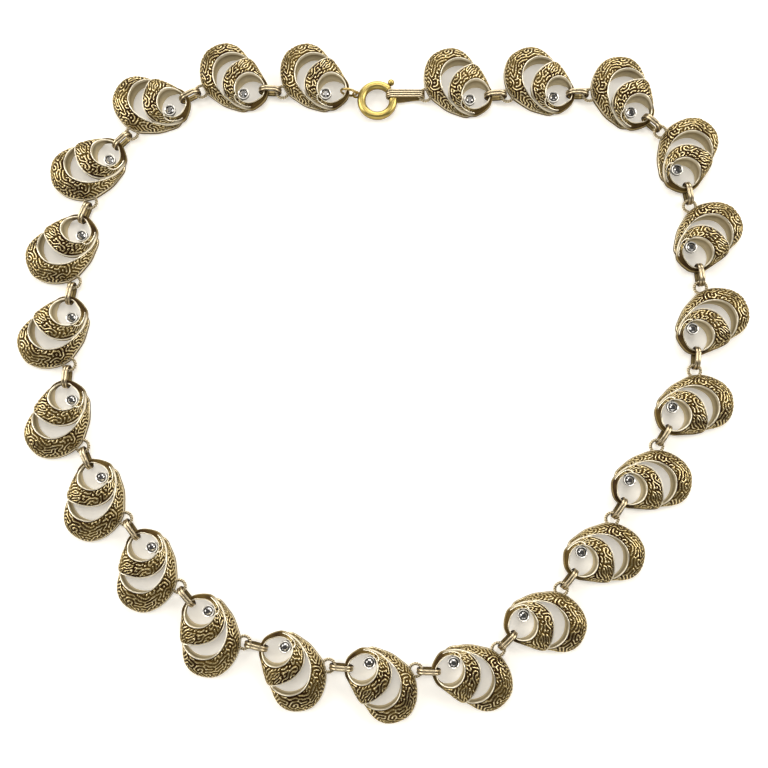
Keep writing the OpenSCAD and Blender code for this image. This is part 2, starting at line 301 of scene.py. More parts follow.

# %% [markdown]
# ## Bare metal for the small parts
# Cups, strips, wire, clasp and stones are one material with other numbers: bare metal that
# drifts between a dull and a bright colour. Painted shade shows as a dark line in a groove, and
# what lies low is painted darker towards the table, as shade. One function makes them all, so
# they stay of one family. The cups are nearly silver, with a soft shine.

# %% Bare metal, and the cups' finish
def bare_metal(name, spots, detail, dull, bright, low_shade=None, shade_colour=None):
    """Metal that drifts between two colours, with painted shade if asked: a colour near the table
    and the two heights in mm between which it ends, and a dark colour in the grooves."""
    mat, tree, bsdf = finish(name)
    colour = blend(tree, noise(tree, spots, detail), dull, bright)
    if low_shade:
        low_shade_colour, from_mm, to_mm = low_shade
        # painted shade, darker towards the table
        risen = span(tree, height_mm(tree), from_mm, to_mm)
        colour = blend(tree, risen, low_shade_colour, colour)
    if shade_colour:
        # painted shade in grooves, creases and shaded parts
        colour = blend(tree, attribute(tree, "painted_shade"), colour, shade_colour)
    tree.links.new(colour, bsdf.inputs["Base Color"])
    bsdf.inputs["Metallic"].default_value = 1
    return mat, tree, bsdf


# painted shade: dark beside the stone and on the cup's outer wall
cup_gilt, tree, bsdf = bare_metal("cup_gilt", spots=1500, detail=4, dull=(0.68, 0.66, 0.61),
                                  bright=(0.90, 0.88, 0.84), shade_colour=(0.022, 0.018, 0.014))
bsdf.inputs["Roughness"].default_value = 0.34
grained(tree, bsdf, FINE_GRAIN, strength=0.2)
print("cup finish:", len(tree.nodes), "nodes")

# %% [markdown]
# ## Strip and wire
# Rolled strip and drawn wire are browner than the castings. Their grooves are painted dark as
# shade and made rough, and the strip is also painted darker towards the table, as shade.

# %% Finishes of strip and wire
# painted shade: dark in the grooves and darker towards the table
strip_gilt, tree, bsdf = bare_metal("strip_gilt", spots=1200, detail=4, dull=(0.38, 0.29, 0.16),
                                    bright=(0.78, 0.68, 0.48), shade_colour=(0.040, 0.022, 0.010),
                                    low_shade=((0.33, 0.25, 0.11), 1.0, 2.6))
rough = span(tree, attribute(tree, "painted_shade"), 0, 1, to_low=0.30, to_high=0.6)
tree.links.new(rough, bsdf.inputs["Roughness"])
grained(tree, bsdf, ROLLED_GRAIN, strength=0.15)
print("strip finish:", len(tree.nodes), "nodes")

# painted shade: dark where the two wires of the twist meet
wire_gilt, tree, bsdf = bare_metal("wire_gilt", spots=2500, detail=4, dull=(0.40, 0.31, 0.17),
                                   bright=(0.84, 0.75, 0.54), shade_colour=(0.045, 0.022, 0.008))
bsdf.inputs["Roughness"].default_value = 0.36
grained(tree, bsdf, FINE_GRAIN, strength=0.2)
print("wire finish:", len(tree.nodes), "nodes")

# %% [markdown]
# ## Clasp, jump ring and marcasite
# The spring ring is a clean yellow and smooth, and the jump ring is brown. Handling has made
# their shine uneven, so noise steers the roughness. A marcasite is a grey ore that mirrors like
# metal, and its polish is the sharpest of all.

# %% Finishes of clasp, jump ring and stones
# painted shade: the spring ring darkens towards the table
clasp_gilt, tree, bsdf = bare_metal("clasp_gilt", spots=500, detail=3, dull=(0.46, 0.35, 0.10),
                                    bright=(0.56, 0.44, 0.15),
                                    low_shade=((0.16, 0.10, 0.018), 1.35, 1.95))
uneven_shine(tree, bsdf, 500, 0.31, 0.37)

jump_gilt, tree, bsdf = bare_metal("jump_gilt", spots=900, detail=3, dull=(0.26, 0.17, 0.05),
                                   bright=(0.56, 0.42, 0.16))
uneven_shine(tree, bsdf, 900, 0.34, 0.26)

marcasite, tree, bsdf = bare_metal("marcasite", spots=2000, detail=2, dull=(0.26, 0.255, 0.25),
                                   bright=(0.46, 0.45, 0.44))
bsdf.inputs["Roughness"].default_value = 0.14
print("finishes:", [mat.name for mat in (clasp_gilt, jump_gilt, marcasite)])

# %% [markdown]
# ## The table's white
# The photographed ground is pure white, and the floor that shows through the shells is cream.
# A warm white paint with a faint glow of its own does both: in the open it goes past white,
# and between the walls, where less light comes in, its own colour shows.

# %% White of the table
table_white, tree, bsdf = finish("table_white")
colour = blend(tree, noise(tree, 400, 3), (0.87, 0.86, 0.83), (0.89, 0.88, 0.85))
tree.links.new(colour, bsdf.inputs["Base Color"])
bsdf.inputs["Roughness"].default_value = 0.9
bsdf.inputs["Emission Color"].default_value = (1.0, 0.955, 0.87, 1)
bsdf.inputs["Emission Strength"].default_value = 0.36
table_top.data.materials.append(table_white)
print("table finish:", len(tree.nodes), "nodes")

# %% [markdown]
# ## How the chain lies
# The links are walked one after the other, as the chain was laid down. Each has a heading, and
# then comes the way and the distance from its wire ring to the next link's eye. Everything
# that repeats is set out on the places that this walk gives.

# %% Places of the links
# heading of a link, way on to the next one (degrees), and how far (mm)
WALK = [(182, 178, 6.2), (181, 207, 6.2), (216, 224, 6.5), (252, 249, 6.4), (268, 260, 6.4),
       (274, 266, 6.5), (291, 293, 6.4), (308, 305, 6.5), (313, 310, 6.4), (327, 346, 6.5),
       (345, 355, 6.4), (359, 358, 6.4), (24, 45, 6.4), (42, 52, 6.5), (54, 57, 6.5),
       (58, 58, 6.5), (65, 85, 6.5), (84, 96, 6.4), (96, 99, 6.2), (116, 138, 6.2),
       (160, 179, 6.3), (182, 183, 6.4), (178, 178, 0)]
LOOP_AT, LOOP_Z = np.array([6.45, 2.7]), 1.2
EYE_AT = np.array([-4.0, 2.8])
CUP_AT = np.array([-2.5, 4.3])
FIRST = np.array([-14.41, 60.62])


def way(deg):
    return np.array([math.cos(math.radians(deg)), math.sin(math.radians(deg))])


def turned(p, deg):
    c, s = way(deg)
    return np.array([p[0] * c - p[1] * s, p[0] * s + p[1] * c])


headings = [heading for heading, onward, far in WALK]
places = [FIRST]
for (heading, onward, far), next_heading in zip(WALK, headings[1:]):
    loop_at = places[-1] + turned(LOOP_AT, heading)
    places.append(loop_at + far * way(onward) - turned(EYE_AT, next_heading))
print("links:", len(places), "the last at", np.round(places[-1], 2))

# %% [markdown]
# ## One cast link in stations
# A casting like this is drawn as a band that runs along a curve. At each station there is a
# point on the inner rim and a point on the outer edge, with their heights. The table is the
# CAD part's own, so the dressed casting keeps its form.

# %% The two shells' stations
# The columns: inner x and y, rim height, outer x and y, edge height, foot height, and how much
# of the relief and of the pale outer lip there is
INNER_AT, RIM_Z, OUTER_AT, EDGE_Z, FOOT_Z = slice(0, 2), 2, slice(3, 5), 5, 6
SCROLLED, LIPPED = 7, 8
INNER = [(-6.50, 2.80, 2.60, -7.28, 2.85, 2.00, 0.90, 0, 0),
         (-6.34, 1.92, 2.80, -7.12, 1.50, 1.80, 0.70, 0, 0),
         (-5.85, 1.15, 3.40, -6.50, 0.25, 1.40, 0.30, 0.7, 0),
         (-5.10, 0.65, 4.10, -5.75, -1.15, 1.10, 0.05, 1, 0),
         (-4.25, 0.42, 4.55, -4.98, -2.55, 1.05, 0.00, 1, 0),
         (-3.40, 0.48, 4.80, -4.10, -3.60, 1.50, 0.10, 1, 0.3),
         (-2.75, 0.70, 4.88, -3.05, -3.55, 3.00, 1.90, 1, 1),
         (-2.20, 1.05, 4.92, -1.80, -2.95, 3.60, 2.75, 1, 1),
         (-1.65, 1.58, 4.92, -0.35, -1.95, 3.80, 2.90, 1, 1),
         (-1.22, 2.30, 4.90, 0.90, -0.66, 3.82, 2.95, 1, 1),
         (-0.97, 3.20, 4.80, 1.70, 0.95, 3.74, 2.85, 1, 1),
         (-0.98, 4.20, 4.55, 1.88, 2.70, 3.46, 2.60, 1, 1),
         (-1.40, 5.10, 4.10, 1.35, 4.30, 2.90, 2.10, 1, 1),
         (-2.20, 5.70, 3.60, 0.05, 5.58, 2.10, 1.35, 1, 1),
         (-3.20, 5.85, 3.10, -1.80, 6.40, 1.40, 0.70, 0.6, 1),
         (-4.30, 5.55, 2.75, -3.82, 6.72, 1.25, 0.50, 0, 0),
         (-5.25, 4.98, 2.60, -5.27, 6.13, 1.60, 0.75, 0, 0),
         (-5.98, 4.40, 2.60, -6.58, 5.05, 2.00, 0.90, 0, 0),
         (-6.36, 3.66, 2.60, -7.12, 4.05, 2.00, 0.90, 0, 0)]
# The outer shell stands on the table with an edge of one height, and its ends are plain
OUTER = [(-3.90, -2.50, 2.20, -3.85, -3.60), (-3.05, -3.45, 3.00, -2.95, -4.60),
         (-1.95, -4.00, 3.45, -2.10, -5.75), (-0.60, -4.20, 3.90, -0.70, -6.95),
         (0.70, -4.00, 4.15, 1.30, -7.50), (1.90, -3.35, 4.30, 3.50, -7.05),
         (2.80, -2.45, 4.35, 5.50, -5.78), (3.35, -1.25, 4.35, 6.60, -3.65),
         (3.50, 0.10, 4.35, 6.86, -1.30), (3.30, 1.50, 4.25, 6.45, 1.00),
         (2.75, 2.80, 4.05, 5.40, 2.90), (1.85, 3.95, 3.60, 3.75, 4.30),
         (0.70, 4.85, 2.60, 1.85, 5.60), (-0.80, 5.45, 1.50, -0.25, 6.38),
         (-2.15, 5.90, 1.15, -1.97, 6.82), (-3.30, 5.90, 1.40, -3.35, 6.45)]
OUTER_EDGE = 0.7
OUTER = [row + (OUTER_EDGE, 0.0, float(0 < k < len(OUTER) - 1), 0.0)
         for k, row in enumerate(OUTER)]
print("stations:", len(OUTER), "outer,", len(INNER), "inner")

# %% [markdown]
# ## Smooth curves along a shell
# The few stations are joined by smooth curves and cut again, finely enough to carry the relief.
# The curve goes through every station, so the table's sizes stay true. The cuts are evenly
# spaced along a line nearer to the outer edge, where the band is longest.

# %% Along a shell
MIDLINE = 0.65
FINE_CUTS = 40


def smooth_rows(rows, count, closed):
    """A smooth curve through the rows, cut into evenly spaced stations, and the place of each
    in the old rows."""
    rows = np.array(rows, float)
    n = len(rows)
    spans = n if closed else n - 1

    def at(u):
        i = np.minimum(u.astype(int), spans - 1)
        t = (u - i)[:, None]
        if closed:
            p = [rows[(i + k) % n] for k in (-1, 0, 1, 2)]
        else:
            ends = np.vstack([2 * rows[0] - rows[1], rows, 2 * rows[-1] - rows[-2]])
            p = [ends[i + k] for k in (0, 1, 2, 3)]
        return 0.5 * (2 * p[1] + (p[2] - p[0]) * t
                      + (2 * p[0] - 5 * p[1] + 4 * p[2] - p[3]) * t ** 2
                      + (3 * p[1] - p[0] - 3 * p[2] + p[3]) * t ** 3)

    fine_u = np.linspace(0, spans, FINE_CUTS * spans + 1)
    fine = at(fine_u)
    line = (1 - MIDLINE) * fine[:, INNER_AT] + MIDLINE * fine[:, OUTER_AT]
    step = np.linalg.norm(np.diff(line, axis=0), axis=1)
    run = np.concatenate([[0], np.cumsum(step)])
    wanted = np.linspace(0, run[-1], count + 1)[:-1] if closed else np.linspace(0, run[-1], count)
    u = np.interp(wanted, run, fine_u)
    cut = at(u)
    cut[:, FOOT_Z] = np.maximum(cut[:, FOOT_Z], 0.0)
    cut[:, SCROLLED:] = np.clip(cut[:, SCROLLED:], 0.0, 1.0)
    return cut, u


print("cuts between two stations:", FINE_CUTS)

# %% [markdown]
# ## The dome across a shell
# Across the band each section is a quarter of an ellipse, from the outer edge up to the rim.
# Its points are spaced evenly along the metal too, because a grid with stretched cells would
# show in the relief.

# %% Across a shell
ARC_CUTS = 200


def dome(row, start, stop, count):
    """Points up one section's dome, evenly spaced, from `start` mm inside the outer edge to
    `stop` mm short of the inner rim."""
    inner, outer = row[INNER_AT], row[OUTER_AT]
    w = np.linalg.norm(outer - inner)
    start, stop = min(start, w / 4), min(stop, w / 3)
    a = np.linspace(math.acos(1 - start / w), math.acos(stop / w), ARC_CUTS)
    rise = row[RIM_Z] - row[EDGE_Z]
    steps = np.hypot(np.diff(w * np.cos(a)), np.diff(rise * np.sin(a)))
    run = np.concatenate([[0], np.cumsum(steps)])
    a = np.interp(np.linspace(0, run[-1], count), run, a)
    at = inner + (outer - inner) * np.cos(a)[:, None]
    return np.column_stack([at, row[EDGE_Z] + rise * np.sin(a)])


print("arc cuts:", ARC_CUTS)

# %% [markdown]
# ## The scrolled relief
# The relief is a maze of short raised scrolls, about 0.7 mm from one to the next. Such a maze
# can be grown: start from noise, keep taking a narrow blur less a wide blur, and it settles
# into ridges of one width that wander and fork. The blur comes first. It works on the shell's
# own grid with the real distances between its points, like heat that spreads through metal, so
# the scrolls keep their size where the band narrows.

# %% Blur on a curved grid
SHORTEST_STEP = 0.05


def spreader(grid, closed):
    """Returns a function that blurs values over the grid."""
    along = np.linalg.norm(np.roll(grid, -1, 0) - grid, axis=2)
    if not closed:
        along[-1] = along[-2]
    across = np.linalg.norm(np.diff(grid, axis=1), axis=2)
    along, across = np.maximum(along, SHORTEST_STEP), np.maximum(across, SHORTEST_STEP)
    tall = np.empty(grid.shape[:2])
    tall[:, 0], tall[:, -1] = across[:, 0], across[:, -1]
    tall[:, 1:-1] = (across[:, 1:] + across[:, :-1]) / 2
    long = (along + np.roll(along, 1, 0)) / 2
    if not closed:
        long[0] = along[0]
    area = tall * long
    ease_along = (tall + np.roll(tall, -1, 0)) / 2 / along
    if not closed:
        ease_along[-1] = 0
    ease_across = (long[:, 1:] + long[:, :-1]) / 2 / across
    total = ease_along + np.roll(ease_along, 1, 0)
    total[:, 1:] += ease_across
    total[:, :-1] += ease_across
    safe_step = 0.7 * float((area / total).min())

    def spread(u, amount):
        n = max(1, math.ceil(amount / safe_step))
        share = amount / n / area
        for _ in range(n):
            flow_along = ease_along * (np.roll(u, -1, 0) - u)
            flow_across = ease_across * np.diff(u, axis=1)
            change = flow_along - np.roll(flow_along, 1, 0)
            change[:, :-1] += flow_across
            change[:, 1:] -= flow_across
            u = u + change * share
        return u

    return spread


print("shortest step", SHORTEST_STEP, "mm")

# %% [markdown]
# ## Growing the scrolls
# The noise has a fixed seed, so the same maze grows each time. At the end the ridges are made
# steep-sided, and the level between ground and ridge is raised a little, because on the real
# casting the dark ground is wider than the ridges.

# %% Grow the relief
PITCH = 0.68
NARROW_BLUR, WIDE_BLUR = 0.150, 0.300
GROWTH_ROUNDS = 50
STEEPNESS, GROUND_LEVEL = 2.2, 0.58


def grow_scrolls(grid, closed, seed):
    """A maze of ridges on the grid, 0 in a recess and 1 on a ridge."""
    spread = spreader(grid, closed)
    narrow, wide = (PITCH * NARROW_BLUR) ** 2 / 2, (PITCH * WIDE_BLUR) ** 2 / 2
    u = np.random.default_rng(seed).normal(0, 0.5, grid.shape[:2])
    for _ in range(GROWTH_ROUNDS):
        soft = spread(u, narrow)
        u = np.tanh(6 * (soft - spread(soft, wide - narrow)))
    u = spread(u, narrow)
    return 0.5 + 0.5 * np.tanh(STEEPNESS * (u / u.std() - GROUND_LEVEL))


print("scrolls", PITCH, "mm apart")

# %% [markdown]
# ## Raising the relief
# The scrolls stand 0.16 mm proud of their ground, and they are real metal here: the mesh itself
# sinks by that much between the ridges. Bump alone would be flat at the outline and lost in
# an exported mesh. The relief fades out where the band is narrow or plain. The outer shell also
# has a narrow plain rim along its lower edge.

# %% Raise the relief
RELIEF = 0.16
NARROW, FULL_FADE = 0.7, 0.5
PLAIN_LEVEL, LIP_PLAIN_LEVEL = 0.52, 0.30
# at both edges of the band the relief is gone at the first column and whole two columns on
GONE_AT, COMES_OVER = 0.4, 1.6
RIM_COLUMNS, DIP_COLUMNS = slice(0, 4), slice(4, 6)
RIM_LEVEL, RIM_PALE, DIP_SHARE = 0.9, 0.8, 0.2


def surface_normals(grid, closed):
    da = np.roll(grid, -1, 0) - np.roll(grid, 1, 0)
    if not closed:
        da[0], da[-1] = grid[1] - grid[0], grid[-1] - grid[-2]
    dc = np.gradient(grid, axis=1)
    n = np.cross(dc, da)
    n *= np.sign(n[:, :, 2:3] + 1e-9)
    return n / np.linalg.norm(n, axis=2, keepdims=True)


def relief_on(scroll, rows, width, lip):
    """How high each point of the grid stands, and how plain and pale it is, both 0 to 1."""
    fade = (rows[:, SCROLLED] * np.clip((width - NARROW) / FULL_FADE, 0.0, 1))[:, None]
    height = scroll * fade + (LIP_PLAIN_LEVEL if lip else PLAIN_LEVEL) * (1 - fade)
    columns = np.arange(scroll.shape[1])
    from_edge = np.minimum(columns, columns[::-1])[None, :]
    height = height * np.clip((from_edge - GONE_AT) / COMES_OVER, 0.0, 1)
    plain = np.zeros(height.shape)
    if not lip:
        height[:, RIM_COLUMNS] = RIM_LEVEL
        height[:, DIP_COLUMNS] *= DIP_SHARE
        plain[:, RIM_COLUMNS] = RIM_PALE
    return height, plain


print("relief", RELIEF, "mm deep")

# %% [markdown]
# ## A section of the metal
# One section is a closed ring of points round the metal: the outer edge, the lip along it, the
# dome, the round bead of the rim, the wall inside the opening, and the hollow underside. Each
# point also gets two numbers for the finish: how rubbed it is, like a height in the relief, and
# how pale. On a wall both numbers are painted light: painted shade makes it dull under the rim,
# and a painted reflection of the white table makes it paler towards its foot.

# %% Section of a shell
BEAD, BEAD_RISE = 0.13, 0.02
WALL, BACK = 0.7, 0.5
HOLLOW = 0.45
EDGE_ROUND = 0.03
FOOT_HIGH, NARROW_FOOT_RISE = 0.35, 0.55
# how rubbed each surface is
UNDER_RUBBED, HOLLOW_RUBBED, EDGE_RUBBED, BEAD_RUBBED = 0.35, 0.45, 0.55, 0.7
# the walls' tones are painted light: shade under the rim, and a reflection of the white table that
# grows towards the foot
WALL_SHADED_TONE, WALL_FOOT_REFLECTION = 0.38, 0.26


def share_of(value, start, length):
    """0 at the start of a range and 1 at its end."""
    return min(1, max(0, (value - start) / length))


def hollow_ring(row, w, wall_foot):
    """The underside's three points, as (distance from the rim, height)."""
    hollow_foot = max(wall_foot, row[FOOT_Z])
    openness = max(0.03, share_of(w, 1.1, 0.9))
    roof = row[EDGE_Z] + (row[RIM_Z] - row[EDGE_Z]) * math.sin(math.acos(HOLLOW)) - WALL
    roof_z = hollow_foot + openness * max(0.05, roof - hollow_foot)
    return [(min(WALL, w / 3), wall_foot), (w * HOLLOW, roof_z), (w - min(BACK, w / 3), row[FOOT_Z])]


def section(row, w, dome_points, dome_tones, lip):
    """A ring of points round one section, and (rubbed, pale) for each."""
    inner, e = row[INNER_AT], (row[OUTER_AT] - row[INNER_AT]) / w
    scrolled, lipped = row[SCROLLED], row[LIPPED]
    r = min(BEAD, w / 6)
    edge_r = r * (0.25 + 0.75 * lipped) if lip else EDGE_ROUND
    wall_foot = FOOT_HIGH + NARROW_FOOT_RISE * (1 - share_of(w, 1.0, 0.6))
    under = [((w, row[FOOT_Z]), (UNDER_RUBBED, 0.0)),
             ((w, (row[FOOT_Z] + row[EDGE_Z]) / 2), (UNDER_RUBBED, 0.3 * lipped))]
    edge = [((w - edge_r + edge_r * math.cos(t),
              row[EDGE_Z] - BEAD_RISE + edge_r * math.sin(t)), (EDGE_RUBBED, lipped))
            for t in np.linspace(0, math.pi * 0.8, 5 if lip else 2)]
    bead = [((r + r * math.cos(t), row[RIM_Z] - r + BEAD_RISE + r * math.sin(t)),
             (BEAD_RUBBED, 0.85 + 0.15 * max(scrolled, lipped)))
            for t in np.linspace(-0.4, math.pi, 6)]
    # painted shade under the rim, and a painted reflection of the white table towards the wall's
    # foot
    foot_reflection = 0.95 if lip else 0.7
    wall = [((0, (row[RIM_Z] - r) * (1 - down) + wall_foot * down),
             (WALL_SHADED_TONE + WALL_FOOT_REFLECTION * down * scrolled,
              foot_reflection * down ** 1.3 * scrolled))
            for down in (0.25, 0.6, 1.0)]
    hollow = [(spot, (HOLLOW_RUBBED, 0)) for spot in hollow_ring(row, w, wall_foot)]

    def placed(spots):
        return [(*(inner + e * d), z) for (d, z), tone in spots]

    points = placed(under + edge) + [tuple(p) for p in dome_points] + placed(bead + wall + hollow)
    tones = [tone for spot, tone in under + edge] + list(dome_tones)
    return points, tones + [tone for spot, tone in bead + wall + hollow]


print("walls", WALL, "mm, bead", 2 * BEAD, "mm")

# %% [markdown]
# ## The two shells
# Sections in a row make a shell. The inner shell closes on itself round the eye, and the outer
# one has two narrow ends, each closed by a face. The relief is grown on a grid twice as fine
# as the mesh, so that its ridges settle smoothly. Each shell has its own seed.

# %% Build the shells
EDGE_LIP = 0.16


def shell(rows, stations, across, closed, lip, seed):
    """A closed band of metal: points, faces, and how rubbed and how pale each point is."""
    fine_rows, row_at = smooth_rows(rows, 2 * stations if closed else 2 * stations - 1, closed)
    fine = np.array([dome(r, EDGE_LIP if lip else 0.0, 2 * BEAD, 2 * across - 1)
                     for r in fine_rows])
    scroll = grow_scrolls(fine, closed, seed)[::2, ::2]
    rows, grid = fine_rows[::2], fine[::2, ::2]
    width = np.linalg.norm(rows[:, INNER_AT] - rows[:, OUTER_AT], axis=1)
    height, plain = relief_on(scroll, rows, width, lip)
    grid = grid - surface_normals(grid, closed) * (RELIEF * (1 - height))[:, :, None]
    points, tones = [], []
    for row, w, dome_points, high, pale in zip(rows, width, grid, height, plain):
        ring, ring_tones = section(row, w, dome_points, zip(high, pale), lip)
        points += ring
        tones += ring_tones
    n = len(ring)
    faces = []
    for k in range(stations if closed else stations - 1):
        a, b = k * n, ((k + 1) % stations) * n
        faces += [(a + j, a + (j + 1) % n, b + (j + 1) % n, b + j) for j in range(n)]
    if not closed:
        faces += [tuple(reversed(range(n))), tuple(range((stations - 1) * n, stations * n))]
    relief, rim = [tone[0] for tone in tones], [tone[1] for tone in tones]
    return (points, faces, relief, rim), grid, row_at[::2]


outer_shell, _, _ = shell(OUTER, 206, 38, closed=False, lip=False, seed=5)
inner_shell, inner_top, inner_rows = shell(INNER, 160, 27, closed=True, lip=True, seed=11)
print("shell points:", len(outer_shell[0]), "and", len(inner_shell[0]))

# %% [markdown]
# ## The rim that runs off
# Round the eye the pale rim is a whole ring, and at the top it also runs on, straight over the
# shell to the outer edge, as on a snail's shell. It is a thin half round wire that follows
# the relief's own surface, so its path is given in stations and shares of the band.

# %% Run-off rim
RUN_FROM, RUN_TO = 11.6, 14.9
RUN_STEPS, RUN_SIDES = 26, 8
RUN_LIFT = 0.10
SMOOTHINGS = 6


def path_over(top, row_at):
    """A line over the band, from its inner rim at one station to its outer edge at another."""
    t = np.linspace(0, 1, RUN_STEPS)
    station = np.interp(RUN_FROM + (RUN_TO - RUN_FROM) * t, row_at, np.arange(len(row_at)))
    column = (top.shape[1] - 1) * (1 - t) ** 1.25
    path = []
    for along, across in zip(station, column):
        i, j = int(along), min(int(across), top.shape[1] - 2)
        a, b = along - i, across - j
        i2 = (i + 1) % top.shape[0]
        path.append((top[i, j] * (1 - a) + top[i2, j] * a) * (1 - b)
                    + (top[i, j + 1] * (1 - a) + top[i2, j + 1] * a) * b)
    path = np.array(path)
    for _ in range(SMOOTHINGS):
        path[1:-1] = (path[:-2] + 2 * path[1:-1] + path[2:]) / 4
    return path


def wire_along(path, radius, sides):
    """A round wire on the path, lifted a little, with a point at each end."""
    steps = len(path)
    way_on = np.gradient(path, axis=0)
    way_on /= np.linalg.norm(way_on, axis=1, keepdims=True)
    side = np.cross(way_on, (0, 0, 1))
    side /= np.linalg.norm(side, axis=1, keepdims=True)
    lift = np.cross(side, way_on)
    points, faces = [tuple(path[0] - way_on[0] * radius * 0.5)], []
    for k in range(steps):
        r = radius * (0.75 if k in (0, steps - 1) else 1.0)
        for m in range(sides):
            a = 2 * math.pi * m / sides
            points.append(tuple(path[k] + lift[k] * (RUN_LIFT + r * math.sin(a))
                                + side[k] * r * math.cos(a)))
    points.append(tuple(path[-1] + way_on[-1] * radius * 0.5))
    last = 1 + (steps - 1) * sides
    for m in range(sides):
        m2 = (m + 1) % sides
        faces.append((0, 1 + m2, 1 + m))
        for ring in range(1, last, sides):
            faces.append((ring + m, ring + m2, ring + sides + m2, ring + sides + m))
        faces.append((last + m, last + m2, len(points) - 1))
    return points, faces


run_points, run_faces = wire_along(path_over(inner_top, inner_rows), BEAD, RUN_SIDES)
run_off = (run_points, run_faces, [0.8] * len(run_points), [1.0] * len(run_points))
print("run-off rim ends at", np.round(run_points[-1], 2))

# %% [markdown]
# ## One casting
# The real link is one piece of metal. Here the two shells and the run-off rim become one mesh,
# a little sunk into each other as soldered pieces are. The numbers for the finish are stored
# on its points. Blender shades a face by its direction, so all faces are turned outwards.

# %% One casting
def joined(*bodies):
    """Puts bodies together. Each is its points, its faces, and any lists with a number a point."""
    points, faces, *numbers = [[] for part in bodies[0]]
    for body in bodies:
        base = len(points)
        points += body[0]
        faces += [tuple(base + i for i in face) for face in body[1]]
        for kept, more in zip(numbers, body[2:]):
            kept += more
    return points, faces, *numbers


def store(mesh, name, values):
    layer = mesh.attributes.new(name, "FLOAT", "POINT")
    layer.data.foreach_set("value", np.asarray(values, np.float32))


def outward(piece):
    """Turns every face of a closed mesh outwards."""
    bm = bmesh.new()
    bm.from_mesh(piece.data)
    bmesh.ops.recalc_face_normals(bm, faces=bm.faces)
    bm.to_mesh(piece.data)
    bm.free()


def triangles(piece):
    return sum(len(p.vertices) - 2 for p in piece.data.polygons)


points, faces, relief, rim = joined(outer_shell, inner_shell, run_off)
casting = mesh_piece("casting", points, faces)
store(casting.data, "relief", relief)
store(casting.data, "rim", rim)
outward(casting)
print("one casting:", len(casting.data.vertices), "points,", triangles(casting), "triangles")

# %% [markdown]
# ## Setting pieces out with Geometry Nodes
# Every link is the same casting, turned and moved. A small node tree does that, with the place
# and the heading as its inputs. Its result is kept as a plain mesh, because the export drops
# instances and wants each piece's place in its mesh. These helpers begin such a tree, end it
# and run it.

# %% Helpers for node trees
def new_tree(name, inputs):
    tree = bpy.data.node_groups.new(name, "GeometryNodeTree")
    tree.interface.new_socket("Geometry", in_out="INPUT", socket_type="NodeSocketGeometry")
    for label, kind in inputs:
        tree.interface.new_socket(label, in_out="INPUT", socket_type="NodeSocket" + kind)
    tree.interface.new_socket("Geometry", in_out="OUTPUT", socket_type="NodeSocketGeometry")
    return tree, tree.nodes.new("NodeGroupInput"), tree.nodes.new("NodeGroupOutput")


def finish_tree(tree, given, result, geometry):
    """Ends a tree: instances become real, and the finish is set."""
    real = tree.nodes.new("GeometryNodeRealizeInstances")
    paint = tree.nodes.new("GeometryNodeSetMaterial")
    wire_up(tree, (geometry, real.inputs[0]), (real.outputs[0], paint.inputs["Geometry"]),
            (given.outputs["Finish"], paint.inputs["Material"]),
            (paint.outputs["Geometry"], result.inputs[0]))
    print("tree", tree.name, "has", len(tree.nodes), "nodes")


def made_plain(piece, tree, values, name):
    """Runs the tree on a piece with these inputs, and returns the result as a plain mesh."""
    bpy.context.view_layer.update()
    modifier = piece.modifiers.new("nodes", "NODES")
    modifier.node_group = tree
    for item in tree.interface.items_tree:
        if item.item_type == "SOCKET" and item.in_out == "INPUT" and item.name in values:
            modifier[item.identifier] = values[item.name]
    graph = bpy.context.evaluated_depsgraph_get()
    mesh = bpy.data.meshes.new_from_object(piece.evaluated_get(graph))
    mesh.name = name
    piece.modifiers.remove(modifier)
    made = bpy.data.objects.new(name, mesh)
    bpy.context.scene.collection.objects.link(made)
    return made


# %% [markdown]
# ## Setting the castings
# Twenty-three links came out of one mould, so one casting serves for all. Each copy takes the
# place and the heading that the walk along the chain gave it, and stands for one CAD link.

# %% Set the castings
set_link, given, result = new_tree("set a link", [("Place", "Vector"), ("Heading", "Float"),
                                                  ("Finish", "Material")])
turn = set_link.nodes.new("ShaderNodeCombineXYZ")
move = set_link.nodes.new("GeometryNodeTransform")
wire_up(set_link, (given.outputs["Heading"], turn.inputs["Z"]),
        (given.outputs["Geometry"], move.inputs["Geometry"]),
        (given.outputs["Place"], move.inputs["Translation"]),
        (turn.outputs["Vector"], move.inputs["Rotation"]))
finish_tree(set_link, given, result, move.outputs["Geometry"])

for k, (place, heading) in enumerate(zip(places, headings)):
    link = made_plain(casting, set_link,
                      {"Place": (place[0] * MM, place[1] * MM, 0.0),
                       "Heading": math.radians(heading), "Finish": shell_gilt},
                      f"shell_casting_{k + 1:02d}")
    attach(link, "necklace")
    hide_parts(f"link_{k + 1:02d}")
bpy.data.objects.remove(casting)
print("castings set:", len(places))

# %% [markdown]
# ## Small parts on every link
# Each link also carries a cup with its stone, and a ring of twisted wire. These are made once,
# in the link's own frame. A second node tree puts a copy on every link: points with a heading,
# and an instance on each. That keeps all copies of a part together in one piece.

